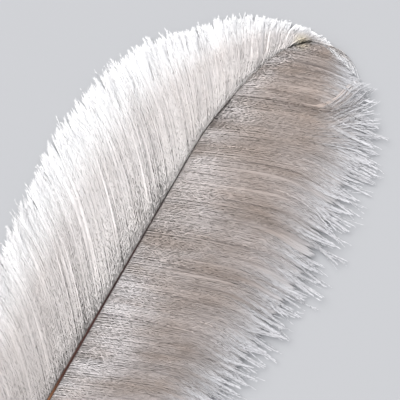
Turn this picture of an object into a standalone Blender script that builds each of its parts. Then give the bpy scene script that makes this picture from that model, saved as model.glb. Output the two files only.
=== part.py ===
"""A white ostrich plume, lying on its hollow side: one shaft and the two vanes of loose barbs it carries.

X runs along the shaft from the end of the quill to the tip of the plume. +Y is the side of the long,
forward barbs, -Y the side of the spread ones, and Z is up from the surface that the plume lies on. The
origin is on that surface, under the middle of the plume. Metres.
"""

import math

import bmesh
import bpy
import numpy as np

# The shaft: a bare quill that runs on into the rachis. It is straight, then turns to -Y near its tip.
SHAFT_LENGTH = 0.662
STRAIGHT_LENGTH = 0.500
EASE_TURN = math.radians(9)
TIP_TURN = math.radians(75)
TIP_TURN_POWER = 4
QUILL_RADIUS = 0.0031
QUILL_END_RADIUS = 0.0012
QUILL_END_LENGTH = 0.009
TIP_RADIUS = 0.0003
TAPER_POWER = 1.6
# The centre line's height at the quill's end, and the arch that it makes above the surface.
END_HEIGHT = 0.0020
ARCH_RISE = 0.027

# The vanes: thin arched sheets of plumage, from a hair's gap beside the shaft out to the barb tips.
VANE_THICKNESS = 0.0028
SHAFT_GAP = 0.0005
RIM_HEIGHT = 0.0020
FALL_POWER = 1.6
SWELL = 0.045
SWELL_POWER = 0.75
# Each row is one barb: where it leaves the shaft, as a length from the quill's end, and its tip's x and y.
FORWARD_BARBS = (
    (0.074, 0.097, 0.020),
    (0.124, 0.165, 0.049),
    (0.171, 0.235, 0.082),
    (0.244, 0.318, 0.102),
    (0.317, 0.395, 0.112),
    (0.377, 0.458, 0.116),
    (0.436, 0.514, 0.108),
    (0.487, 0.558, 0.091),
    (0.536, 0.591, 0.061),
    (0.572, 0.619, 0.034),
    (0.603, 0.636, 0.003),
    (0.630, 0.646, -0.028),
    (0.657, 0.645, -0.054),
)
SPREAD_BARBS = (
    (0.074, 0.083, -0.021),
    (0.100, 0.125, -0.056),
    (0.150, 0.185, -0.100),
    (0.220, 0.262, -0.129),
    (0.290, 0.333, -0.143),
    (0.350, 0.394, -0.153),
    (0.420, 0.460, -0.158),
    (0.480, 0.518, -0.153),
    (0.530, 0.563, -0.143),
    (0.575, 0.600, -0.131),
    (0.605, 0.626, -0.111),
    (0.635, 0.633, -0.088),
    (0.657, 0.639, -0.068),
)
PLUME_LENGTH = 0.646
FORWARD_WIDTH = 0.116
SPREAD_WIDTH = 0.158

# How finely the pieces are divided. The shaft's points crowd together at the quill's rounded end.
CENTRE_STEPS = 2000
SHAFT_POINTS = 64
SHAFT_POINT_POWER = 1.3
SHAFT_BEVEL_RESOLUTION = 3
VANE_STATIONS = 44
VANE_STRIPS = 11
FLOOR_CUTTER_DEPTH = 0.05

IVORY = (0.86, 0.84, 0.80)
WARM_WHITE = (0.74, 0.70, 0.66)
QUILL_BROWN = (0.16, 0.075, 0.035)


def clear_scene():
    """Remove every object, so the plume is alone in the file."""
    for thing in list(bpy.data.objects):
        bpy.data.objects.remove(thing, do_unlink=True)


def new_collection(name):
    collection = bpy.data.collections.new(name)
    bpy.context.scene.collection.children.link(collection)
    return collection


def plain_material(name, colour, roughness):
    material = bpy.data.materials.new(name)
    material.use_nodes = True
    shader = material.node_tree.nodes["Principled BSDF"]
    shader.inputs["Base Color"].default_value = (*colour, 1.0)
    shader.inputs["Roughness"].default_value = roughness
    shader.inputs["Metallic"].default_value = 0.0
    return material


def shaft_heading(along):
    """The shaft's direction in plan: zero, then a slight ease to -Y, then a hook that tightens to the tip."""
    bend = np.clip((along - STRAIGHT_LENGTH) / (SHAFT_LENGTH - STRAIGHT_LENGTH), 0, 1)
    ease = np.clip(4 * bend, 0, 1)
    return -(EASE_TURN * ease**2 * (3 - 2 * ease) + TIP_TURN * bend**TIP_TURN_POWER)


def shaft_centre(along):
    """Points on the shaft's centre line, at these lengths from the quill's end."""
    steps = np.linspace(0, SHAFT_LENGTH, CENTRE_STEPS + 1)
    middle = shaft_heading((steps[1:] + steps[:-1]) / 2)
    run = np.diff(steps)
    x = np.interp(along, steps, np.concatenate([[0], np.cumsum(run * np.cos(middle))]))
    y = np.interp(along, steps, np.concatenate([[0], np.cumsum(run * np.sin(middle))]))
    part = np.asarray(along) / SHAFT_LENGTH
    z = END_HEIGHT + ARCH_RISE * 4 * part * (1 - part)
    return np.stack([x, y, z], axis=-1)


def shaft_radius(along):
    """The radius falls smoothly to the tip, and rounds off over the last millimetres of the quill."""
    part = np.clip(np.asarray(along) / SHAFT_LENGTH, 0, 1)
    taper = TIP_RADIUS + (QUILL_RADIUS - TIP_RADIUS) * (1 - part) ** TAPER_POWER
    rounding = np.clip(np.asarray(along) / QUILL_END_LENGTH, 0, 1)
    blunt = QUILL_END_RADIUS + (QUILL_RADIUS - QUILL_END_RADIUS) * np.sqrt(rounding * (2 - rounding))
    return np.minimum(taper, blunt)


def smooth_through(knots, values, at):
    """A smooth curve through the values at the knots: cubic pieces with the mean slope at each knot."""
    slope = np.gradient(values, knots)
    i = np.clip(np.searchsorted(knots, at, side="right") - 1, 0, len(knots) - 2)
    span = knots[i + 1] - knots[i]
    t = (at - knots[i]) / span
    start = values[i] * (1 + 2 * t) * (1 - t) ** 2 + slope[i] * span * t * (1 - t) ** 2
    end = values[i + 1] * t**2 * (3 - 2 * t) - slope[i + 1] * span * t**2 * (1 - t)
    return start + end


def vane_surface(barbs, side, station, out):
    """The vane's upper face. station goes 0 to 1 along the shaft, out goes 0 to 1 from shaft to barb tips.

    In plan a barb runs straight from beside the shaft to its tip. In height it starts at the shaft, swells
    a little in proportion to its length, and comes down to the rim, where it lies along the surface.
    """
    root, tip_x, tip_y = np.array(barbs).T
    along = root[0] + (root[-1] - root[0]) * station
    centre = shaft_centre(along)
    heading = shaft_heading(along)
    beside = side * (shaft_radius(along) + SHAFT_GAP)
    start = centre[:, :2] + np.stack([-np.sin(heading), np.cos(heading)], axis=-1) * beside[:, None]
    end = np.stack([smooth_through(root, tip_x, along), smooth_through(root, tip_y, along)], axis=-1)
    plan = start + (end - start) * out[:, None]
    reach = np.linalg.norm(end - start, axis=1)
    top = centre[:, 2] + VANE_THICKNESS / 2
    fall = (1 - out**FALL_POWER) ** FALL_POWER
    swell = SWELL * reach * np.sin(math.pi * out**SWELL_POWER) ** 2 * fall
    height = RIM_HEIGHT + (top - RIM_HEIGHT) * fall + swell
    return np.column_stack([plan, height])


def make_shaft(collection, parent, material):
    """The shaft is a tapering round rod along the centre line, closed at both ends."""
    curve = bpy.data.curves.new("shaft", "CURVE")
    curve.dimensions = "3D"
    curve.bevel_depth = 1.0
    curve.bevel_resolution = SHAFT_BEVEL_RESOLUTION
    curve.use_fill_caps = True
    spline = curve.splines.new("POLY")
    spline.points.add(SHAFT_POINTS - 1)
    along = SHAFT_LENGTH * np.linspace(0, 1, SHAFT_POINTS) ** SHAFT_POINT_POWER
    centre = shaft_centre(along)
    spline.points.foreach_set("co", np.column_stack([centre, np.ones(SHAFT_POINTS)]).ravel())
    spline.points.foreach_set("radius", shaft_radius(along))
    spline.use_smooth = True
    curve.materials.append(material)
    shaft = bpy.data.objects.new("shaft", curve)
    shaft.parent = parent
    collection.objects.link(shaft)
    return shaft


def make_floor_cutter(collection, parent):
    """A block under the surface that the plume lies on; it trims the vanes flat."""
    mesh = bpy.data.meshes.new("floor_cutter")
    block = bmesh.new()
    bmesh.ops.create_cube(block, size=1.0)
    bmesh.ops.scale(block, vec=(2 * PLUME_LENGTH, 2 * PLUME_LENGTH, FLOOR_CUTTER_DEPTH), verts=block.verts)
    bmesh.ops.translate(block, vec=(PLUME_LENGTH / 2, 0, -FLOOR_CUTTER_DEPTH / 2), verts=block.verts)
    block.to_mesh(mesh)
    block.free()
    cutter = bpy.data.objects.new("floor_cutter", mesh)
    cutter.parent = parent
    cutter.hide_render = True
    cutter.display_type = "WIRE"
    collection.objects.link(cutter)
    return cutter


def make_vane(name, barbs, side, collection, parent, material, cutter):
    """A vane is a flat grid bent to the vane's surface, thickened downwards and trimmed at the floor."""
    mesh = bpy.data.meshes.new(name)
    sheet = bmesh.new()
    bmesh.ops.create_grid(sheet, x_segments=VANE_STATIONS, y_segments=VANE_STRIPS, size=0.5)
    flat = np.array([corner.co[:2] for corner in sheet.verts]) + 0.5
    out = flat[:, 1] if side > 0 else 1 - flat[:, 1]
    bent = vane_surface(barbs, side, np.clip(flat[:, 0], 0, 1), np.clip(out, 0, 1))
    for corner, place in zip(sheet.verts, bent):
        corner.co = place
    sheet.to_mesh(mesh)
    sheet.free()
    mesh.materials.append(material)
    mesh.shade_smooth()
    vane = bpy.data.objects.new(name, mesh)
    vane.parent = parent
    collection.objects.link(vane)
    thicken = vane.modifiers.new("thickness", "SOLIDIFY")
    thicken.thickness = VANE_THICKNESS
    thicken.offset = -1
    trim = vane.modifiers.new("flat underside", "BOOLEAN")
    trim.operation = "DIFFERENCE"
    trim.solver = "EXACT"
    trim.object = cutter
    return vane


def main():
    clear_scene()
    plume = new_collection("ostrich_plume")
    cutters = new_collection("cutters")
    root = bpy.data.objects.new("plume_root", None)
    root.location = (-PLUME_LENGTH / 2, (SPREAD_WIDTH - FORWARD_WIDTH) / 2, 0)
    plume.objects.link(root)
    quill = plain_material("quill_brown", QUILL_BROWN, 0.45)
    ivory = plain_material("ivory_barbs", IVORY, 0.85)
    warm = plain_material("warm_barbs", WARM_WHITE, 0.85)
    cutter = make_floor_cutter(cutters, root)
    make_shaft(plume, root, quill)
    make_vane("forward_vane", FORWARD_BARBS, 1, plume, root, ivory, cutter)
    make_vane("spread_vane", SPREAD_BARBS, -1, plume, root, warm, cutter)


main()
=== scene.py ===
"""The looks of a white ostrich plume: its horn shaft and the loose, downy barbs of its two vanes.

Metres and radians. The plume is worked out in its own plan, with X along the shaft from the quill's end,
+Y on the side of the forward barbs and Z up from the surface it lies on, and is then moved to the frame.
A barb is a thin tapering thread that leaves the shaft, and a barbule is one of the short hairs along it.
Neighbouring barbs gather into locks, which part at the rim of the plume into tufts with loose, wispy ends.

Three measures run through the script. along is a length on the shaft from the quill's end. out, or reach,
is a part of a barb's length from the shaft. tone is how light a barb is among its neighbours; on the ribbons
of matted down it is painted shade, and painted light on the forward vane.
"""

import math
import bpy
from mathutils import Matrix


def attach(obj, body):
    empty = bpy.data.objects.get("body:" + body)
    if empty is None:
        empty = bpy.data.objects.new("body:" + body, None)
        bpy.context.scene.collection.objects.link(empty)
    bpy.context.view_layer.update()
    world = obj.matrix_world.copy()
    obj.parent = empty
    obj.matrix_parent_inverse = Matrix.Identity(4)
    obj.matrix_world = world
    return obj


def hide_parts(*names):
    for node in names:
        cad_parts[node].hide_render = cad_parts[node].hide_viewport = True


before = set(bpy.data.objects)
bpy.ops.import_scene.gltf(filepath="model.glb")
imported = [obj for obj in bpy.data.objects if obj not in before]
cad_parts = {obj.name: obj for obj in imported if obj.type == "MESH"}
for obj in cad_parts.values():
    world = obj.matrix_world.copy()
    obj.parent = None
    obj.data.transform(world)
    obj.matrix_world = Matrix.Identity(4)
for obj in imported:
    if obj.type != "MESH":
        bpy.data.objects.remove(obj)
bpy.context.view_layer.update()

from types import SimpleNamespace

import bpy
import numpy as np
from mathutils import Euler, Vector

# The plume's measures, as the construction has them.
PLUME_LENGTH = 0.646
FORWARD_WIDTH = 0.116
SPREAD_WIDTH = 0.158
TO_FRAME = np.array([-PLUME_LENGTH / 2, (SPREAD_WIDTH - FORWARD_WIDTH) / 2, 0.0])
SHAFT_LENGTH = 0.662
STRAIGHT_LENGTH = 0.500
EASE_TURN = math.radians(9)
TIP_TURN = math.radians(75)
TIP_TURN_POWER = 4
CENTRE_STEPS = 2000
QUILL_RADIUS = 0.0031
QUILL_END_RADIUS = 0.0012
QUILL_END_LENGTH = 0.009
TIP_RADIUS = 0.0003
TAPER_POWER = 1.6
END_HEIGHT = 0.0020
ARCH_RISE = 0.027
RIM_HEIGHT = 0.0020
FALL_POWER = 1.6
SWELL = 0.016
SWELL_POWER = 0.75
FLOOR_CLEARANCE = 0.0004

# The shaft's mesh. Its stations crowd towards the quill's end, and more so over the first part of its
# rounding. The channels have a width in radians and a depth in radii.
SHAFT_STATIONS = 260
SHAFT_SIDES = 28
STATION_POWER = 1.15
ROUNDING_STATIONS = 6
ROUNDING_LENGTH = 0.35 * QUILL_END_LENGTH
RACHIS_STARTS = (0.05, 0.12)
UPPER_CHANNEL = (0.42, 0.10)
LOWER_CHANNEL = (0.50, 0.26)
QUILL_POINT = 0.0004
TIP_POINT = 0.0006

UP = np.array([0.0, 0.0, 1.0])

# One barb a row: where it leaves the shaft, as a length from the quill's end, its tip's x and y, and how far
# its outer part curls along the rim, towards the plume's tip where that is positive.
FORWARD_BARBS = (
    (0.074, 0.097, 0.020, 0.000),
    (0.114, 0.165, 0.049, -0.002),
    (0.180, 0.235, 0.082, -0.004),
    (0.240, 0.318, 0.102, -0.005),
    (0.300, 0.395, 0.112, -0.004),
    (0.356, 0.458, 0.116, -0.002),
    (0.417, 0.514, 0.108, 0.000),
    (0.472, 0.558, 0.091, 0.000),
    (0.523, 0.591, 0.061, -0.002),
    (0.560, 0.620, 0.033, 0.000),
    (0.597, 0.637, 0.001, 0.002),
    (0.626, 0.645, -0.026, 0.002),
    (0.645, 0.646, -0.050, 0.000),
    (0.657, 0.641, -0.065, 0.000),
)
SPREAD_BARBS = (
    (0.074, 0.083, -0.021, 0.000),
    (0.100, 0.125, -0.056, -0.004),
    (0.150, 0.185, -0.100, -0.008),
    (0.222, 0.262, -0.129, -0.012),
    (0.290, 0.333, -0.143, -0.012),
    (0.350, 0.394, -0.153, -0.012),
    (0.415, 0.460, -0.158, -0.012),
    (0.478, 0.527, -0.152, -0.012),
    (0.516, 0.568, -0.147, -0.012),
    (0.543, 0.592, -0.137, -0.012),
    (0.569, 0.611, -0.119, -0.010),
    (0.590, 0.624, -0.105, -0.008),
    (0.610, 0.631, -0.095, -0.008),
    (0.632, 0.638, -0.081, -0.008),
    (0.657, 0.643, -0.066, 0.000),
)
# A fan of long barbs on the spread vane, whose ends curl up the rim into a tuft.
FAN_BARBS = (
    (0.520, 0.572, -0.149, 0.006),
    (0.532, 0.582, -0.147, 0.024),
    (0.545, 0.592, -0.142, 0.044),
    (0.560, 0.603, -0.136, 0.050),
    (0.580, 0.615, -0.126, 0.040),
    (0.597, 0.627, -0.114, 0.020),
    (0.615, 0.632, -0.106, 0.010),
)
# The last barbs of the shaft, which sweep forward over its hook and trail down the rim of the other vane.
TIP_BARBS = (
    (0.612, 0.6470, -0.040, 0.000),
    (0.626, 0.6455, -0.052, 0.000),
    (0.637, 0.641, -0.067, 0.000),
    (0.648, 0.635, -0.083, 0.000),
    (0.657, 0.629, -0.099, 0.000),
)

# How each group of barbs grows:
#   side: the side of the shaft, +1 or -1 in Y; rows: its table, a column each; roots: the stretch of the
#     shaft it grows from; at_quill: whether its first barbs are the plume's first, and so ragged
#   bow: how far a barb's two ends turn off its chord; raised: how far the group lies over the vane
#   longest: the longest barb, in lengths of the table's; short, taper: how much shorter a tuft may be, and
#     a barb in it
#   lock, tuft: their widths at the shaft; gather: how far a barb goes to the middle of its lock on the way
#     out; parting: how far it goes there again at the rim, so that the locks part
#   sway, lift: how far a lock waves along the vane, and rises or sinks; hook: how far a tuft turns aside
#   web, web_end, web_depth, web_painted_light_and_shade: half the width of the ribbons of matted down, where
#     they end, how deep they lie and how light they are: painted shade of the deep down, and painted light on
#     the forward vane against the shade among its barbules
#   slant: how far the barbules stand off their barb, beside the shaft, further out and at the rim
FORWARD = SimpleNamespace(
    name="forward",
    side=1,
    rows=np.array(FORWARD_BARBS).T,
    roots=(0.074, 0.657),
    at_quill=True,
    bow=math.radians(10),
    raised=0.0,
    barbs=640,
    longest=1.015,
    short=0.06,
    taper=0.065,
    lock=0.0085,
    tuft=0.0027,
    gather=0.15,
    parting=0.16,
    sway=0.0011,
    lift=0.0006,
    hook=0.0040,
    web=0.0024,
    web_end=0.985,
    web_depth=(0.0010, 0.0017),
    web_painted_light_and_shade=(0.8, 1.2),
    barbules=178000,
    barbule_length=0.0090,
    slant=(math.radians(30), math.radians(12), math.radians(17)),
    seed=11,
)
SPREAD = SimpleNamespace(
    name="spread",
    side=-1,
    rows=np.array(SPREAD_BARBS).T,
    roots=(0.074, 0.657),
    at_quill=True,
    bow=math.radians(7),
    raised=0.0,
    barbs=640,
    longest=1.06,
    short=0.11,
    taper=0.07,
    lock=0.0080,
    tuft=0.0036,
    gather=0.18,
    parting=0.22,
    sway=0.0007,
    lift=0.0007,
    hook=0.0040,
    web=0.0024,
    web_end=0.86,
    web_depth=(0.0018, 0.0028),
    web_painted_light_and_shade=(0.0, 0.3),
    barbules=205000,
    barbule_length=0.0085,
    slant=(math.radians(34), math.radians(10), math.radians(7)),
    seed=23,
)
FAN = SimpleNamespace(
    name="fan",
    side=-1,
    rows=np.array(FAN_BARBS).T,
    roots=(0.524, 0.562),
    at_quill=False,
    bow=math.radians(7),
    raised=0.0006,
    barbs=64,
    longest=1.04,
    short=0.14,
    taper=0.10,
    lock=0.0080,
    tuft=0.0014,
    gather=0.10,
    parting=0.1,
    sway=0.0004,
    lift=0.0004,
    hook=0.0010,
    web=0.0008,
    web_end=0.86,
    web_depth=(0.0016, 0.0026),
    web_painted_light_and_shade=(0.5, 0.8),
    barbules=20000,
    barbule_length=0.0055,
    slant=(math.radians(20), math.radians(10), math.radians(7)),
    seed=41,
)
TIP = SimpleNamespace(
    name="tip",
    side=1,
    rows=np.array(TIP_BARBS).T,
    roots=(0.626, 0.657),
    at_quill=False,
    bow=math.radians(-38),
    raised=0.0008,
    barbs=80,
    longest=1.02,
    short=0.12,
    taper=0.20,
    lock=0.0090,
    tuft=0.0010,
    gather=0.0,
    parting=0.0,
    sway=0.0006,
    lift=0.0005,
    hook=0.0008,
    web=0.0005,
    web_end=0.45,
    web_depth=(0.0010, 0.0016),
    web_painted_light_and_shade=(0.2, 0.4),
    barbules=9000,
    barbule_length=0.0036,
    slant=(math.radians(18), math.radians(8), math.radians(10)),
    seed=37,
)

# What all barbs share. A pair of numbers in brackets is a range, or, in a name that ends in STARTS, where
# something starts and the stretch over which it grows to its full amount.
BARB_POINTS = 14
BARB_RADIUS = 0.00026
BARB_THICKNESS = (0.8, 1.2)
STRAY_THICKNESS = 1.5
BARB_THINNING = 0.86
WISP_THINNING = 0.5
THINNING_POWER = 0.8
BARB_ROUNDNESS = 0.35
BARB_HANDLE = 1.1
RAISED_STRETCH = 6
# A barb's root, in shaft radii out from the shaft's middle and up, and where in its own share of the shaft.
# A bunch's width varies by these parts, and many more bunches are drawn than can be needed.
ROOT_SIDE = 0.70
ROOT_HEIGHT = 0.70
ROOT_PLACE = (0.2, 0.8)
BUNCH_WIDTH = (0.55, 1.45)
SPARE_BUNCHES = 3
# Barbs slide along the rim less over this length at the two ends of a vane.
HELD_LENGTH = 0.03
HELD_AT_QUILL = 0.2
LOCK_GATHER = (0.5, 1.25)
GATHER_STARTS = (0.1, 0.9)
LOCK_WAVES = (0.5, 1.1)
LOCK_SWAY = (0.3, 1.3)
LIFT_STARTS = (0.0, 0.3)
LOCK_TONE = 0.55
TUFT_TONE = 0.45
CURL_STARTS = (0.58, 0.5)
# Towards the plume's tip, from here along the shaft, the tufts are calmer.
CALM_STARTS = (0.575, 0.045)
CALM = 0.55
TUFT_GATHER = (0.4, 0.9)
TUFT_STARTS = (0.74, 0.26)
PARTING_STARTS = (0.76, 0.24)
TUFT_SCATTER = 0.0010
SCATTER_STARTS = (0.4, 0.6)
HOOK_STARTS = (0.82, 0.30)
TUFT_RISE = 0.0050
RISE_STARTS = (0.7, 0.3)
SHORT_POWER = 0.8
# A few barbs stray from their lock and lie on top of it, and more end in a thin wisp past the rim.
STRAY_SHARE = 0.035
STRAY_SLIDE = 0.009
STRAY_RISE = (0.001, 0.003)
STRAY_STRETCH = 0.4
STRAY_END = 1.1
STRAY_TONE = 2.0
BARB_SCATTER = 0.0007
WISP_SHARE = 0.24
WISP_LENGTH = (0.01, 0.05)
WISP_SLIDE = 0.004
WISP_STARTS = (0.85, 0.2)
WISP_BARE = 0.82
RAGGED_LENGTH = 0.045
RAGGED_BARBS = 0.45
RAGGED_WEB = 0.8
BARB_DEPTH = 0.0016
BARB_DEPTH_STARTS = (0.0, 0.35)
LOWEST_BARB = FLOOR_CLEARANCE + 0.0006

# The ribbons of matted down under the barbs.
WEB_LENGTH = (0.96, 1.0)
WEB_SKIN = 0.0002
WEB_SINK_STARTS = (0.0, 0.3)
WEB_SINK_POWER = 3
WEB_ROOT_WIDTH = 0.45
WEB_WIDTH_STARTS = (0.0, 0.15)
WEB_CLOSING_POWER = 7
WEB_WIDTH = (0.8, 1.2)
WEB_TILT = 0.05
WEB_TURN = (0.4, 1.1)

# The barbules. A barbule's roll round its barb has a spread at the shaft and more further out. The bend back
# and the droop of its upper half are a middle and a spread, in parts of the way that its lower half points.
BARBULE_HALF_WIDTH = 0.00016
BARBULE_WIDTH = (0.8, 1.2)
BARBULE_CROWDING = 0.95
SLANT_STARTS = (0.0, 0.4)
RIM_SLANT_STARTS = (0.75, 0.25)
SLANT_SPREAD = (0.2, 1.6)
ROLL_MIDDLE = -0.05
ROLL_SPREAD = (0.20, 0.15)
BEND_BACK = (0.25, 0.20)
DROOP = (-0.05, 0.07)
BARBULE_SIZE = (0.55, 1.15)
SHORTEST_BARBULE = 0.33
LENGTH_PEAK_POWER = 0.9
LENGTH_ROUND_POWER = 0.6
WISP_BARBULE = 0.5
STRAY_BARBULE = 0.4
FINER_STARTS = (0.55, 0.08)
FINER = 0.5
BLADE_TURN = 0.35
BARB_TONE_SHARE = 0.65
REACH_TO_KNEE = 3
BLADE_FACING = 0.17
SIDE_FACING = 0.10

# The finish of the down: the colours' places out along a barb, and for each tint its noise's scale, the
# noise, along or reach between which it goes from one end of its share to the other, and the shares.
NEAR_ENDS = 0.12
MIDDLE_PLACE = 0.4
OUTER_PLACE = 0.7
DRAWN_SCALE = (45.0, 2.2, 1.0)
DRAWN_NOISE = (0.44, 0.66)
BROWNED_ALONG = (0.40, 0.56)
BROWNED_SHARE = 0.85
BROWNED_REACH = (0.02, 0.22)
BROWNED_AT_SHAFT = 0.35
PATCH_SCALE = (16.0, 16.0, 16.0)
PATCH_NOISE = (0.45, 0.65)
PATCH_SHARE = 0.6
ENDS_REACH = (0.58, 0.86)
ENDS_SHARE = 0.95
# Painted shade: the down darkens towards the quill's end, where the light falls off.
QUILL_SHADE_ALONG = (0.22, 0.36)
QUILL_SHADE_REACH = (0.25, 0.80)
QUILL_SHADE_AT_TIPS = 0.35
PAINTED_QUILL_SHADE = (0.42, 0.385, 0.375)
# Painted light: a warm glow of light shining through a fold of overlapping barbs by the hook.
GLOW_PLACE = (0.6335 + TO_FRAME[0], -0.0350 + TO_FRAME[1], 0.008)
GLOW_REACH = (0.002, 0.010)
GLOW_SHARE = 0.60
PAINTED_GLOW = (0.72, 0.64, 0.43)
# Each streak: its noise's scale along the shaft, along the barb and unused, and the shades it gives.
STREAKS = (((1000.0, 4.0, 1.0), 0.90, 1.06), ((190.0, 2.5, 1.0), 0.94, 1.05))
STREAK_NOISE = (0.3, 0.7)
FINE_SCALE = (300.0, 300.0, 300.0)
DOWN_ROUGHNESS = (0.62, 0.85)
DOWN_SPECULAR = 0.2
DOWN_SHEEN = 0.15

# The finish of the horn, and its colour at parts of the shaft's length.
HORN_STREAKS = (18.0, 900.0, 900.0)
HORN_SHADES = (0.7, 1.5)
HORN_ROUGHNESS = (0.30, 0.50)
HORN_SPECULAR = 0.25
HORN_BUMP = 0.25
HORN_BUMP_DEPTH = 0.0002
HORN = (
    (0.0, (0.42, 0.27, 0.13)),
    (0.30, (0.36, 0.19, 0.08)),
    (0.37, (0.20, 0.088, 0.036)),
    (0.415, (0.075, 0.026, 0.017)),
    (0.52, (0.040, 0.014, 0.013)),
    (0.70, (0.022, 0.014, 0.014)),
    (0.85, (0.06, 0.045, 0.04)),
    (0.93, (0.17, 0.14, 0.12)),
    (1.0, (0.46, 0.41, 0.36)),
)

# The stage: what the camera looks at in the plume's plan, the width it takes in there, and the lights.
VIEW_CENTRE = (0.4666, -0.0271)
VIEW_WIDTH = 0.348
VIEW_LEVEL = 0.02
VIEW_TURN = math.radians(-60)
LENS_MM = 100.0
SENSOR_MM = 36.0
KEY_DIRECTION = (-0.30, -1.0, -1.10)
KEY_SOFTNESS = math.radians(55)
KEY_POWER = 3.05
KEY_COLOUR = (1.0, 0.975, 0.95)
SURROUND_COLOUR = (0.96, 0.97, 1.0, 1.0)
SURROUND_POWER = 0.68
FLOOR_SIZE = 40.0
FLOOR_COLOUR = (0.46, 0.47, 0.49, 1.0)


# ---- shapes -------------------------------------------------------------------------------------


def ease(t):
    """0 to 1 with no slope at either end: three t squared less two t cubed."""
    t = np.clip(t, 0, 1)
    return t * t * (3 - 2 * t)


def onset(t, starts):
    """0 up to a start, then eased to 1 over a stretch."""
    start, stretch = starts
    return ease((t - start) / stretch)


def unit(vectors):
    """The vectors at length one."""
    return vectors / np.maximum(np.linalg.norm(vectors, axis=-1, keepdims=True), 1e-12)


def shaft_heading(along):
    """The shaft's direction in plan: zero, then a slight ease to -Y, then a hook that tightens to the tip."""
    bend = np.clip((along - STRAIGHT_LENGTH) / (SHAFT_LENGTH - STRAIGHT_LENGTH), 0, 1)
    return -(EASE_TURN * ease(4 * bend) + TIP_TURN * bend**TIP_TURN_POWER)


def shaft_centre(along):
    """The shaft's centre line: its heading summed up in plan, on a low parabola in height."""
    steps = np.linspace(0, SHAFT_LENGTH, CENTRE_STEPS + 1)
    middle = shaft_heading((steps[1:] + steps[:-1]) / 2)
    run = np.diff(steps)
    x = np.interp(along, steps, np.concatenate([[0], np.cumsum(run * np.cos(middle))]))
    y = np.interp(along, steps, np.concatenate([[0], np.cumsum(run * np.sin(middle))]))
    part = np.asarray(along) / SHAFT_LENGTH
    z = END_HEIGHT + ARCH_RISE * 4 * part * (1 - part)
    return np.stack([x, y, z], axis=-1)


def shaft_radius(along):
    """The radius falls as a power to the tip, and rounds off as a quarter circle at the quill's end."""
    part = np.clip(np.asarray(along) / SHAFT_LENGTH, 0, 1)
    taper = TIP_RADIUS + (QUILL_RADIUS - TIP_RADIUS) * (1 - part) ** TAPER_POWER
    rounding = np.clip(np.asarray(along) / QUILL_END_LENGTH, 0, 1)
    blunt = QUILL_END_RADIUS + (QUILL_RADIUS - QUILL_END_RADIUS) * np.sqrt(rounding * (2 - rounding))
    return np.minimum(taper, blunt)


def smooth_through(knots, values, at):
    """A smooth curve through the values at the knots: cubic pieces with the mean slope at each knot."""
    slope = np.gradient(values, knots)
    i = np.clip(np.searchsorted(knots, at, side="right") - 1, 0, len(knots) - 2)
    span = knots[i + 1] - knots[i]
    t = (at - knots[i]) / span
    start = values[i] * (1 + 2 * t) * (1 - t) ** 2 + slope[i] * span * t * (1 - t) ** 2
    end = values[i + 1] * t**2 * (3 - 2 * t) - slope[i + 1] * span * t**2 * (1 - t)
    return start + end


def turned(plan, angle):
    """Plan vectors turned by an angle."""
    c, s = np.cos(angle), np.sin(angle)
    return np.stack([plan[..., 0] * c - plan[..., 1] * s, plan[..., 0] * s + plan[..., 1] * c], axis=-1)


def vane_point(vane, along, out, reach):
    """A point of the vane's upper face, on the barb that leaves at along, at the part out of its length.

    In plan a barb is a cubic from beside the shaft to its tip, whose ends turn off the chord by the bow:
    it sets off along the shaft and comes round outwards. reach is its length, in lengths of the table's.
    Its height starts at the shaft, swells a little and comes down to the rim, and depends on how far across
    the vane the point is, so that a short barb ends on the vane's face and a long one lies on the surface.
    """
    root, tip_x, tip_y = vane.rows[:3]
    along = np.clip(along, root[0], root[-1])
    centre = shaft_centre(along)
    heading = shaft_heading(along)
    radius = shaft_radius(along)
    beside = (vane.side * ROOT_SIDE * radius)[..., None]
    start = centre[..., :2] + np.stack([-np.sin(heading), np.cos(heading)], axis=-1) * beside
    tip = np.stack([smooth_through(root, tip_x, along), smooth_through(root, tip_y, along)], axis=-1)
    chord = (tip - start) * reach[..., None]
    leave = turned(chord, -vane.side * vane.bow) * BARB_HANDLE
    arrive = turned(chord, vane.side * vane.bow) * BARB_HANDLE
    t = out[..., None]
    plan = start + chord * t * t * (3 - 2 * t) + leave * t * (1 - t) ** 2 - arrive * t * t * (1 - t)
    span = np.linalg.norm(chord, axis=-1)
    level = np.clip(out * reach / vane.longest, 0, 1)
    fall = (1 - level**FALL_POWER) ** FALL_POWER
    swell = SWELL * span * np.sin(math.pi * level**SWELL_POWER) ** 2 * fall
    height = RIM_HEIGHT + (centre[..., 2] + ROOT_HEIGHT * radius - RIM_HEIGHT) * fall + swell
    height += vane.raised * ease(out * RAISED_STRETCH)
    return np.concatenate([plan, height[..., None]], axis=-1)


def gathered(rng, roots, width):
    """Neighbouring barbs in bunches of about this width: each barb's bunch, how many bunches there are, and
    the way from each barb to its bunch's middle."""
    enough = int(SPARE_BUNCHES * (roots[-1] - roots[0]) / width)
    widths = rng.uniform(*BUNCH_WIDTH, enough) * width
    edges = roots[0] + np.cumsum(widths)
    bunch = np.searchsorted(edges, roots)
    count = np.maximum(np.bincount(bunch), 1)
    middle = np.bincount(bunch, roots) / count
    return bunch, len(count), middle[bunch] - roots


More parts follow.
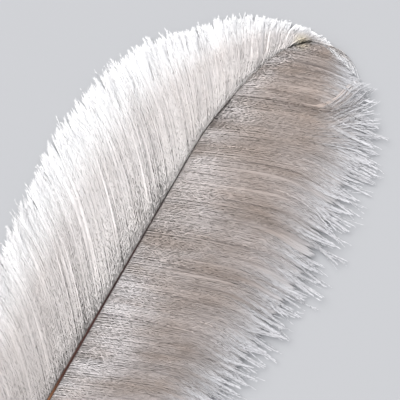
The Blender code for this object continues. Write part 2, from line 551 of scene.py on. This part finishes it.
def grow_barbs(vane):
    """The vane's barbs: their centre lines (barb, point, xyz) and what the finer pieces need to know of them.

    A barb follows the vane's face, but as it goes out it slides along the rim: towards the middle of its
    lock, in a slow sine that the lock shares, by the vane's curl, and near the rim towards the middle of its
    tuft, so that the tufts end in separate fingers. Each lock and tuft has its own lift, reach and tone.
    """
    rng = np.random.default_rng(vane.seed)
    first, last = vane.roots
    count = vane.barbs
    roots = first + (last - first) * (np.arange(count) + rng.uniform(*ROOT_PLACE, count)) / count
    out = np.linspace(0, 1, BARB_POINTS)[None, :]
    table_start, table_end = vane.rows[0][0], vane.rows[0][-1]
    hold = ease((table_end - roots) / HELD_LENGTH)
    hold = (hold * ease((roots - table_start) / HELD_LENGTH + HELD_AT_QUILL))[:, None]

    # The locks, which the ribbons of down follow as well.
    lock, locks, to_lock = gathered(rng, roots, vane.lock)
    share = (vane.gather * rng.uniform(*LOCK_GATHER, locks))[lock] * to_lock
    slide = share[:, None] * onset(out, GATHER_STARTS)
    wave = rng.uniform(*LOCK_WAVES, locks)[lock][:, None]
    phase = rng.uniform(0, 1, locks)[lock][:, None]
    sway = (vane.sway * rng.uniform(*LOCK_SWAY, locks))[lock][:, None]
    slide += sway * out * (np.sin(2 * math.pi * (wave * out + phase)) - np.sin(2 * math.pi * phase))
    lift = (vane.lift * rng.normal(0, 1, locks))[lock][:, None]
    rise = lift * np.sin(math.pi * out) * onset(out, LIFT_STARTS)
    tone = LOCK_TONE * rng.random(locks)[lock]
    slide += smooth_through(vane.rows[0], vane.rows[3], roots)[:, None] * onset(out, CURL_STARTS)
    flow = roots[:, None] + hold * slide
    flow_rise = rise.copy()

    # The tufts at the rim.
    calm = 1 - CALM * onset(roots, CALM_STARTS)
    tuft, tufts, to_tuft = gathered(rng, roots, vane.tuft)
    slide += (calm * rng.uniform(*TUFT_GATHER, tufts)[tuft] * to_tuft)[:, None] * onset(out, TUFT_STARTS)
    slide += (vane.parting * to_lock)[:, None] * onset(out, PARTING_STARTS)
    slide += rng.normal(0, TUFT_SCATTER, tufts)[tuft][:, None] * onset(out, SCATTER_STARTS)
    slide += (calm * rng.normal(0, vane.hook, tufts)[tuft])[:, None] * onset(out, HOOK_STARTS)
    rise += (calm * (rng.random(tufts) ** 2 * TUFT_RISE)[tuft])[:, None] * onset(out, RISE_STARTS)
    reach = vane.longest - vane.short * rng.random(tufts)[tuft] ** SHORT_POWER
    reach -= vane.taper * rng.random(count)
    tone += TUFT_TONE * rng.random(tufts)[tuft]

    # The strays, the wisps and the ragged first barbs.
    stray = rng.random(count) < STRAY_SHARE
    slide += (stray * rng.normal(0, STRAY_SLIDE, count))[:, None] * out**2
    over = (stray * rng.uniform(*STRAY_RISE, count))[:, None]
    rise += over * ease(out / STRAY_STRETCH) * ease((STRAY_END - out) / STRAY_STRETCH)
    tone = np.where(stray, STRAY_TONE, tone)
    slide += rng.normal(0, BARB_SCATTER, count)[:, None] * out
    wisps = np.random.default_rng(vane.seed + 2)
    wisp = wisps.random(count) < WISP_SHARE
    reach += wisp * wisps.uniform(*WISP_LENGTH, count)
    slide += (wisp * wisps.normal(0, WISP_SLIDE, count))[:, None] * onset(out, WISP_STARTS)
    ragged = wisps.random(count) * (1 - ease((roots - table_start) / RAGGED_LENGTH)) * vane.at_quill
    reach *= 1 - RAGGED_BARBS * ragged

    moved = roots[:, None] + hold * slide
    reach = np.repeat(reach[:, None], BARB_POINTS, axis=1)
    line = vane_point(vane, moved, np.broadcast_to(out, moved.shape), reach)
    depth = rng.random(count)[:, None] * BARB_DEPTH * onset(out, BARB_DEPTH_STARTS) * (1 - out) ** 0.5
    line[..., 2] = np.maximum(line[..., 2] + rise - depth, LOWEST_BARB)
    grown = SimpleNamespace(line=line, out=out[0], moved=moved, flow=flow, flow_rise=flow_rise)
    grown.tone, grown.wisp, grown.ragged = tone, wisp, ragged
    return grown


def directions(line):
    """Along, across and up at every point of the centre lines."""
    along = unit(np.gradient(line, axis=1))
    across = unit(np.cross(UP, along))
    return along, across, np.cross(along, across)


# ---- meshes -------------------------------------------------------------------------------------


def make_mesh(name, places, faces, values, normals=None):
    """A mesh object in the frame from points, arrays of equal-sided faces, values and, for down, normals."""
    mesh = bpy.data.meshes.new(name)
    places = places + TO_FRAME
    sides = np.concatenate([np.full(len(f), f.shape[1]) for f in faces])
    corners = np.concatenate([f.ravel() for f in faces]).astype(np.int32)
    mesh.vertices.add(len(places))
    mesh.vertices.foreach_set("co", places.astype(np.float32).ravel())
    mesh.loops.add(len(corners))
    mesh.loops.foreach_set("vertex_index", corners)
    mesh.polygons.add(len(sides))
    mesh.polygons.foreach_set("loop_start", (np.cumsum(sides) - sides).astype(np.int32))
    mesh.polygons.foreach_set("use_smooth", np.ones(len(sides), bool))
    for key, value in values.items():
        carried = mesh.attributes.new(key, "FLOAT", "POINT")
        carried.data.foreach_set("value", value.astype(np.float32).ravel())
    mesh.update(calc_edges=True)
    if normals is not None:
        mesh.normals_split_custom_set_from_vertices(normals.astype(np.float32))
    thing = bpy.data.objects.new(name, mesh)
    bpy.context.scene.collection.objects.link(thing)
    return thing


def thread_mesh(name, grown, rng):
    """Barbs as tapering three-sided threads: three corners round each point of the centre line, at 90, 210
    and 330 degrees, joined by quads, with a triangle over the root and a point at the tip. The normals lean
    only a little off the vane's face, because light goes through and round such a thin thread."""
    line, out = grown.line, grown.out
    barbs, points = line.shape[:2]
    along, across, up = directions(line)
    angle = np.radians([90.0, 210.0, 330.0])
    thick = rng.uniform(*BARB_THICKNESS, barbs) * np.where(grown.tone > 1, STRAY_THICKNESS, 1.0)
    thinning = np.where(grown.wisp, WISP_THINNING, BARB_THINNING)[:, None, None]
    radius = BARB_RADIUS * (1 - thinning * out[None, :, None] ** THINNING_POWER) * thick[:, None, None]
    rings = line[:, :, None] + radius[..., None] * (
        np.cos(angle)[:, None] * across[:, :, None] + np.sin(angle)[:, None] * up[:, :, None]
    )
    places = np.concatenate([rings[:, :-1].reshape(barbs, -1, 3), line[:, -1:]], axis=1)
    per = places.shape[1]
    base = (np.arange(barbs) * per)[:, None, None]
    i = np.arange(points - 2)[None, :, None] * 3
    k = np.arange(3)[None, None, :]
    n = (k + 1) % 3
    quads = np.stack([base + i + k, base + i + 3 + k, base + i + 3 + n, base + i + n], axis=-1).reshape(-1, 4)
    end = base[:, 0] + (points - 2) * 3
    tips = np.stack([end + k[0], np.repeat(end + 3, 3, 1), end + n[0]], axis=-1).reshape(-1, 3)
    roots = base[:, 0] + np.array([0, 1, 2])
    values = {
        "reach": np.broadcast_to(np.append(np.repeat(out[:-1], 3), out[-1]), (barbs, per)),
        "along": np.concatenate([np.repeat(grown.moved[:, :-1], 3, axis=1), grown.moved[:, -1:]], axis=1),
        "tone": np.broadcast_to(grown.tone[:, None], (barbs, per)),
    }
    outward = (rings[:, :-1] - line[:, :-1, None]) / radius[:, :-1, :, None]
    facing = unit(up[:, :-1, None] + BARB_ROUNDNESS * outward)
    facing = np.concatenate([facing.reshape(barbs, -1, 3), up[:, -1:]], axis=1)
    return make_mesh(name, places.reshape(-1, 3), [quads, tips, roots], values, facing.reshape(-1, 3))


def web_mesh(name, vane, grown, rng):
    """The matted barbules low in the down, one soft ribbon under every barb.

    A ribbon is two edges carried under the barb, apart by a width that opens beside the shaft and closes
    before the rim, and it sinks under the vane's face by a depth that does the same. Its normals turn apart
    at the two edges, so that it is lit as a rounded strand.
    """
    out = grown.out
    barbs, points = grown.flow.shape
    end = vane.web_end * rng.uniform(*WEB_LENGTH, (barbs, 1))
    end = end * (1 - RAGGED_WEB * grown.ragged[:, None])
    reach = np.broadcast_to(out * end, grown.flow.shape)
    line = vane_point(vane, grown.flow, reach, np.full_like(reach, vane.longest))
    sinking = onset(out, WEB_SINK_STARTS) * (1 - out**WEB_SINK_POWER)
    sunk = WEB_SKIN + sinking * rng.uniform(*vane.web_depth, (barbs, 1))
    line[..., 2] += grown.flow_rise - sunk
    along, across, up = directions(line)
    opening = WEB_ROOT_WIDTH + (1 - WEB_ROOT_WIDTH) * onset(out, WEB_WIDTH_STARTS)
    width = opening * (1 - out**WEB_CLOSING_POWER)
    half = (vane.web * width * rng.uniform(*WEB_WIDTH, (barbs, 1)))[..., None]
    edge = half * (across + rng.normal(0, WEB_TILT, (barbs, 1, 1)) * up)
    places = np.stack([line - edge, line + edge], axis=2)
    places[..., 2] = np.maximum(places[..., 2], FLOOR_CLEARANCE)
    i = np.arange(points - 1)[None, :] * 2 + (np.arange(barbs) * 2 * points)[:, None]
    quads = np.stack([i, i + 2, i + 3, i + 1], axis=-1).reshape(-1, 4)
    spread = np.stack([grown.flow - half[..., 0], grown.flow + half[..., 0]], axis=2)
    # The ribbons' tone is painted shade of the deep down, and on the forward vane painted light against the
    # shade among the barbules.
    values = {
        "reach": np.broadcast_to(reach[..., None], spread.shape),
        "along": spread,
        "tone": np.broadcast_to(rng.uniform(*vane.web_painted_light_and_shade, (barbs, 1, 1)), spread.shape),
    }
    turn = rng.uniform(*WEB_TURN, (barbs, 1, 1)) * across
    facing = unit(np.stack([up - turn, up + turn], axis=2)).reshape(-1, 3)
    return make_mesh(name, places.reshape(-1, 3), [quads], values, facing)


def barbule_mesh(name, vane, grown, chosen, number, rng):
    """Barbules as bent blades: two triangles, from a pointed foot to a broad knee and on to a pointed end.

    Each leaves its barb at a slant to one side, turned up or down round the barb at random, and its upper
    half bends back towards the barb's tip and down. It is as long as the vane's barbules are there: short
    at the shaft and at the barb's end, longest between, and shorter on strays, wisps and at the plume's tip.
    """
    line = grown.line[chosen]
    length = np.linalg.norm(np.diff(line, axis=1), axis=-1).sum(1)
    barb = np.repeat(np.arange(len(line)), rng.multinomial(number, length / length.sum()))
    out = rng.uniform(0.0, 1.0, number) ** BARBULE_CROWDING
    place = out * (BARB_POINTS - 1)
    i = np.minimum(place.astype(int), BARB_POINTS - 2)
    f = (place - i)[:, None]
    foot = line[barb, i] * (1 - f) + line[barb, i + 1] * f
    along = unit(line[barb, i + 1] - line[barb, i])
    across = unit(np.cross(UP, along)) * rng.choice([-1.0, 1.0], number)[:, None]
    up = unit(np.cross(np.cross(along, UP), along))

    near, far, rim = vane.slant
    opening = near + (far - near) * onset(out, SLANT_STARTS) + (rim - far) * onset(out, RIM_SLANT_STARTS)
    slant = (opening * rng.uniform(*SLANT_SPREAD, number))[:, None]
    looseness = ROLL_SPREAD[0] + ROLL_SPREAD[1] * onset(out, SLANT_STARTS)
    roll = rng.normal(ROLL_MIDDLE, looseness, number)[:, None]
    side = across * np.cos(roll) + up * np.sin(roll)
    first = along * np.cos(slant) + side * np.sin(slant)
    back = rng.normal(*BEND_BACK, number)[:, None]
    droop = rng.normal(*DROOP, number)[:, None]
    later = unit(first + along * back + UP * droop)

    profile = np.sin(math.pi * out**LENGTH_PEAK_POWER) ** LENGTH_ROUND_POWER
    profile = SHORTEST_BARBULE + (1 - SHORTEST_BARBULE) * profile
    size = vane.barbule_length * rng.uniform(*BARBULE_SIZE, number) * profile
    moved = grown.moved[chosen]
    at = moved[barb, i] * (1 - f[:, 0]) + moved[barb, i + 1] * f[:, 0]
    size *= np.where(grown.wisp[chosen][barb] & (out > WISP_BARE), WISP_BARBULE, 1.0)
    on_stray = grown.tone[chosen][barb] >= STRAY_TONE
    size *= np.where(on_stray, STRAY_BARBULE, 1.0) * (1 - FINER * onset(at, FINER_STARTS))
    size = size[:, None]
    knee = foot + first * size * 0.5
    point = knee + later * size * 0.5
    flat = unit(np.cross(first, up + BLADE_TURN * rng.normal(0, 1, (number, 3))))
    half = BARBULE_HALF_WIDTH * rng.uniform(*BARBULE_WIDTH, number)[:, None]
    corners = np.stack([foot, knee + flat * half, knee - flat * half, point], axis=1)
    corners[..., 2] = np.maximum(corners[..., 2], FLOOR_CLEARANCE)

    normal = np.cross(corners[:, 1] - corners[:, 0], corners[:, 2] - corners[:, 0])
    under = normal[:, 2] < 0
    corners[under] = corners[under][:, [0, 2, 1, 3]]
    base = np.arange(number)[:, None] * 4
    faces = np.concatenate([base + np.array([0, 1, 2]), base + np.array([2, 1, 3])])
    tone = BARB_TONE_SHARE * grown.tone[chosen][barb] + (1 - BARB_TONE_SHARE) * rng.random(number)
    onward = size * np.array([0, REACH_TO_KNEE, REACH_TO_KNEE, 2.0 * REACH_TO_KNEE])
    values = {
        "reach": np.clip(out[:, None] + onward, 0, 1),
        "along": np.repeat(at[:, None], 4, 1),
        "tone": np.repeat(tone[:, None], 4, 1),
    }
    facing = unit(up + BLADE_FACING * unit(normal) * np.sign(normal[:, 2:]) + SIDE_FACING * across)
    facing = np.repeat(facing[:, None], 4, axis=1).reshape(-1, 3)
    return make_mesh(name, corners.reshape(-1, 3), [faces], values, facing)


def shaft_mesh(name):
    """The shaft as a profile carried along its centre line, closed to a point at both ends.

    The profile is a circle that grows flatter and gains a shallow channel above and a deeper one below as
    the quill turns into the rachis: each channel is a bell of the angle taken off the radius.
    """
    along = SHAFT_LENGTH * np.linspace(0, 1, SHAFT_STATIONS) ** STATION_POWER
    rounding = ROUNDING_LENGTH * np.linspace(0, 1, ROUNDING_STATIONS)[:-1] ** 2
    along = np.concatenate([rounding, along[along > ROUNDING_LENGTH]])
    centre = shaft_centre(along)
    forward = unit(np.gradient(centre, along, axis=0))
    across = unit(np.cross(UP, forward))
    up = np.cross(forward, across)
    angle = np.linspace(0, 2 * math.pi, SHAFT_SIDES, endpoint=False)
    rachis = onset(along, RACHIS_STARTS)[:, None]
    above = np.exp(-(((angle - math.pi / 2) / UPPER_CHANNEL[0]) ** 2))
    below = np.exp(-(((angle - 3 * math.pi / 2) / LOWER_CHANNEL[0]) ** 2))
    profile = 1 - rachis * (UPPER_CHANNEL[1] * above + LOWER_CHANNEL[1] * below)
    radius = shaft_radius(along)
    radius[0] = 0
    rings = centre[:, None] + (radius[:, None] * profile)[..., None] * (
        np.cos(angle)[None, :, None] * across[:, None] + np.sin(angle)[None, :, None] * up[:, None]
    )
    rings[..., 2] = np.maximum(rings[..., 2], 0)
    count = len(along)
    points = [centre[:1] + forward[:1] * QUILL_POINT, centre[-1:] + forward[-1:] * TIP_POINT]
    places = np.concatenate([rings[1:].reshape(-1, 3), *points])
    i = np.arange(count - 2)[:, None] * SHAFT_SIDES
    k = np.arange(SHAFT_SIDES)[None, :]
    n = (k + 1) % SHAFT_SIDES
    quads = np.stack([i + k, i + n, i + SHAFT_SIDES + n, i + SHAFT_SIDES + k], axis=-1).reshape(-1, 4)
    last = (count - 2) * SHAFT_SIDES
    start, finish = last + SHAFT_SIDES, last + SHAFT_SIDES + 1
    ends = np.concatenate(
        [
            np.stack([np.full(SHAFT_SIDES, start), n[0], k[0]], axis=-1),
            np.stack([np.full(SHAFT_SIDES, finish), last + k[0], last + n[0]], axis=-1),
        ]
    )
    part = along / SHAFT_LENGTH
    reach = np.concatenate([np.repeat(part[1:], SHAFT_SIDES), [0.0, 1.0]])
    return make_mesh(name, places, [quads, ends], {"reach": reach})


# ---- finishes -----------------------------------------------------------------------------------


def node(tree, kind, **values):
    """A new node, with its properties set."""
    made = tree.nodes.new(kind)
    for key, value in values.items():
        setattr(made, key, value)
    return made


def ramp(tree, source, stops):
    """A colour ramp read at a value: stops are a position and a colour each."""
    made = node(tree, "ShaderNodeValToRGB")
    made.color_ramp.elements.remove(made.color_ramp.elements[1])
    for i, (at, colour) in enumerate(stops):
        stop = made.color_ramp.elements[0] if i == 0 else made.color_ramp.elements.new(at)
        stop.position = at
        stop.color = (*colour, 1.0)
    tree.links.new(source, made.inputs["Fac"])
    return made.outputs["Color"]


def blend(tree, share, first, second, kind="MIX"):
    """Two colours mixed by a share, which is a number or a socket."""
    made = node(tree, "ShaderNodeMix", data_type="RGBA", blend_type=kind)
    for socket, value in ((made.inputs[0], share), (made.inputs[6], first), (made.inputs[7], second)):
        if isinstance(value, (int, float)):
            socket.default_value = value
        elif isinstance(value, tuple):
            socket.default_value = (*value, 1.0)
        else:
            tree.links.new(value, socket)
    return made.outputs[2]


def product(tree, first, second):
    """Two values multiplied."""
    made = node(tree, "ShaderNodeMath", operation="MULTIPLY")
    tree.links.new(first, made.inputs[0])
    tree.links.new(second, made.inputs[1])
    return made.outputs["Value"]


def ranged(tree, source, low, high, to_low, to_high):
    """A value carried from one range to another, and held at the ends."""
    made = node(tree, "ShaderNodeMapRange")
    for key, value in zip(("From Min", "From Max", "To Min", "To Max"), (low, high, to_low, to_high)):
        made.inputs[key].default_value = value
    tree.links.new(source, made.inputs["Value"])
    return made.outputs["Result"]


def noise(tree, place, scale, detail=2.0):
    """Soft cloudy noise over a place, drawn out by a scale for each of its directions."""
    stretch = node(tree, "ShaderNodeMapping")
    stretch.inputs["Scale"].default_value = scale
    tree.links.new(place, stretch.inputs["Vector"])
    made = node(tree, "ShaderNodeTexNoise")
    made.inputs["Scale"].default_value = 1.0
    made.inputs["Detail"].default_value = detail
    tree.links.new(stretch.outputs["Vector"], made.inputs["Vector"])
    return made.outputs["Fac"]


def attribute(tree, name):
    """A value carried by the mesh."""
    return node(tree, "ShaderNodeAttribute", attribute_name=name).outputs["Fac"]


def new_material(name, roughness):
    """A material with its node tree and its shader."""
    material = bpy.data.materials.new(name)
    material.use_nodes = True
    tree = material.node_tree
    shader = tree.nodes["Principled BSDF"]
    shader.inputs["Roughness"].default_value = roughness
    return material, tree, shader


def down_material(name, near, middle, outer, tips, tint, tint_share, tones, quill_shade_share):
    """Down: a colour that runs from near the shaft over the middle and the outer vane to the tips, tinted in
    soft patches drawn out along the barbs and more towards the plume's tip, darkened towards the quill with
    painted shade, with a painted glow of light through the down at one place by the hook, fine and broad
    streaks along the barbs, and a shade for each tone. On the spread vane the tint is painted warm shade."""
    material, tree, shader = new_material(name, 0.75)
    place = node(tree, "ShaderNodeTexCoord").outputs["Object"]
    reach = attribute(tree, "reach")
    along = attribute(tree, "along")
    vane = node(tree, "ShaderNodeCombineXYZ")
    tree.links.new(along, vane.inputs["X"])
    tree.links.new(reach, vane.inputs["Y"])
    on_vane = vane.outputs["Vector"]

    colour = ramp(tree, reach, ((0.0, near), (NEAR_ENDS, near), (MIDDLE_PLACE, middle)))
    drawn = ranged(tree, noise(tree, on_vane, DRAWN_SCALE, 3.0), *DRAWN_NOISE, 0.0, tint_share)
    colour = blend(tree, drawn, colour, tint)
    browned = ranged(tree, along, *BROWNED_ALONG, 0.0, tint_share * BROWNED_SHARE)
    browned = product(tree, browned, ranged(tree, reach, *BROWNED_REACH, BROWNED_AT_SHAFT, 1.0))
    colour = blend(tree, browned, colour, tint)
    patches = ranged(tree, noise(tree, place, PATCH_SCALE), *PATCH_NOISE, 0.0, tint_share * PATCH_SHARE)
    colour = blend(tree, patches, colour, tint)
    ends = ramp(tree, reach, ((OUTER_PLACE, outer), (1.0, tips)))
    colour = blend(tree, ranged(tree, reach, *ENDS_REACH, 0.0, ENDS_SHARE), colour, ends)
    # Painted shade towards the quill's end.
    quill_shade = ranged(tree, along, *QUILL_SHADE_ALONG, quill_shade_share, 0.0)
    quill_shade = product(tree, quill_shade, ranged(tree, reach, *QUILL_SHADE_REACH, 1.0, QUILL_SHADE_AT_TIPS))
    colour = blend(tree, quill_shade, colour, PAINTED_QUILL_SHADE)

    # Painted glow of light through the down by the hook.
    away = node(tree, "ShaderNodeVectorMath", operation="DISTANCE")
    away.inputs[1].default_value = GLOW_PLACE
    tree.links.new(place, away.inputs[0])
    glow = ranged(tree, away.outputs["Value"], *GLOW_REACH, GLOW_SHARE, 0.0)
    colour = blend(tree, glow, colour, PAINTED_GLOW)
    for scale, low, high in STREAKS:
        streak = ranged(tree, noise(tree, on_vane, scale, 1.0), *STREAK_NOISE, low, high)
        colour = blend(tree, 1.0, colour, streak, "MULTIPLY")
    shade = ranged(tree, attribute(tree, "tone"), 0.0, STRAY_TONE, *tones)
    colour = blend(tree, 1.0, colour, shade, "MULTIPLY")
    tree.links.new(colour, shader.inputs["Base Color"])

    rough = ranged(tree, noise(tree, place, FINE_SCALE), *STREAK_NOISE, *DOWN_ROUGHNESS)
    tree.links.new(rough, shader.inputs["Roughness"])
    shader.inputs["Specular IOR Level"].default_value = DOWN_SPECULAR
    shader.inputs["Sheen Weight"].default_value = DOWN_SHEEN
    return material


def horn_material():
    """Horn: amber at the quill, near black along the middle, grey-brown at the thin tip, finely streaked."""
    material, tree, shader = new_material("horn", 0.4)
    place = node(tree, "ShaderNodeTexCoord").outputs["Object"]
    shader.inputs["Specular IOR Level"].default_value = HORN_SPECULAR
    streaks = noise(tree, place, HORN_STREAKS, 3.0)
    colour = ramp(tree, attribute(tree, "reach"), HORN)
    light = ranged(tree, streaks, 0.42, 0.72, *HORN_SHADES)
    colour = blend(tree, 1.0, colour, light, "MULTIPLY")
    tree.links.new(colour, shader.inputs["Base Color"])
    tree.links.new(ranged(tree, streaks, *STREAK_NOISE, *HORN_ROUGHNESS), shader.inputs["Roughness"])
    bump = node(tree, "ShaderNodeBump")
    bump.inputs["Strength"].default_value = HORN_BUMP
    bump.inputs["Distance"].default_value = HORN_BUMP_DEPTH
    tree.links.new(streaks, bump.inputs["Height"])
    tree.links.new(bump.outputs["Normal"], shader.inputs["Normal"])
    return material


# ---- the plume ----------------------------------------------------------------------------------


def make_vane_pieces(vane, material, node_name, places):
    """The barbs of a vane, the mat under them, and the barbules in a piece for each place along the shaft."""
    grown = grow_barbs(vane)
    rng = np.random.default_rng(vane.seed + 1)
    made = [
        thread_mesh(f"{vane.name}_barbs", grown, rng),
        web_mesh(f"{vane.name}_under_down", vane, grown, rng),
    ]
    parts = np.array_split(np.arange(vane.barbs), len(places))
    number = vane.barbules // len(places)
    for part, where in zip(parts, places):
        made.append(barbule_mesh(f"{vane.name}_barbules{where}", vane, grown, part, number, rng))
    for piece in made:
        piece.data.materials.append(material)
        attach(piece, "root")
        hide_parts(node_name)


def make_shaft():
    """The horn shaft, in place of the CAD's plain rod."""
    shaft = shaft_mesh("shaft_horn")
    shaft.data.materials.append(horn_material())
    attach(shaft, "root")
    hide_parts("shaft")


# ---- the stage ----------------------------------------------------------------------------------


def plain_floor():
    """A plain pale floor."""
    material, tree, shader = new_material("pale_floor", 0.9)
    shader.inputs["Base Color"].default_value = FLOOR_COLOUR
    bpy.ops.mesh.primitive_plane_add(size=FLOOR_SIZE, location=(0, 0, 0))
    floor = bpy.context.object
    floor.name = "floor"
    floor.data.materials.append(material)


def make_camera():
    """The camera looks straight down on the plume, which runs up to the right at 60 degrees."""
    data = bpy.data.cameras.new("camera")
    data.lens = LENS_MM
    data.sensor_width = SENSOR_MM
    camera = bpy.data.objects.new("camera", data)
    bpy.context.scene.collection.objects.link(camera)
    height = VIEW_LEVEL + VIEW_WIDTH * data.lens / data.sensor_width
    camera.location = (VIEW_CENTRE[0] + TO_FRAME[0], VIEW_CENTRE[1] + TO_FRAME[1], height)
    camera.rotation_euler = Euler((0, 0, VIEW_TURN))
    bpy.context.scene.camera = camera


def make_light():
    """A broad soft key from the forward vane's side, high enough to reach over the shaft, in a pale room."""
    data = bpy.data.lights.new("key", "SUN")
    data.angle = KEY_SOFTNESS
    data.energy = KEY_POWER
    data.color = KEY_COLOUR
    key = bpy.data.objects.new("key", data)
    bpy.context.scene.collection.objects.link(key)
    key.rotation_euler = Vector(KEY_DIRECTION).to_track_quat("-Z", "Y").to_euler()
    world = bpy.data.worlds.new("surround")
    bpy.context.scene.world = world
    world.use_nodes = True
    back = world.node_tree.nodes["Background"]
    back.inputs["Color"].default_value = SURROUND_COLOUR
    back.inputs["Strength"].default_value = SURROUND_POWER
    bpy.context.scene.view_settings.view_transform = "Standard"


white = down_material(
    "bright_down",
    near=(0.80, 0.77, 0.76),
    middle=(0.725, 0.70, 0.70),
    outer=(0.96, 0.965, 0.98),
    tips=(0.98, 0.985, 1.0),
    tint=(0.66, 0.615, 0.595),
    tint_share=0.30,
    tones=(0.94, 1.22),
    quill_shade_share=0.70,
)
# The spread vane's down is a darker, browner copy of the white down: painted shade for the vane that lies
# turned away from the key light, with its browns painted as the warm shade deep in the down.
shade_painted_down = down_material(
    "shaded_down",
    near=(0.85, 0.812, 0.815),
    middle=(0.57, 0.519, 0.505),
    outer=(0.54, 0.54, 0.56),
    tips=(0.74, 0.745, 0.775),
    tint=(0.42, 0.338, 0.29),
    tint_share=0.62,
    tones=(0.84, 1.60),
    quill_shade_share=0.0,
)
THIRDS = ("_lower", "_middle", "_upper")
make_vane_pieces(FORWARD, white, "forward_vane", THIRDS)
make_vane_pieces(SPREAD, shade_painted_down, "spread_vane", THIRDS)
make_vane_pieces(TIP, white, "forward_vane", ("",))
make_vane_pieces(FAN, shade_painted_down, "spread_vane", ("",))
make_shaft()
plain_floor()
make_camera()
make_light()
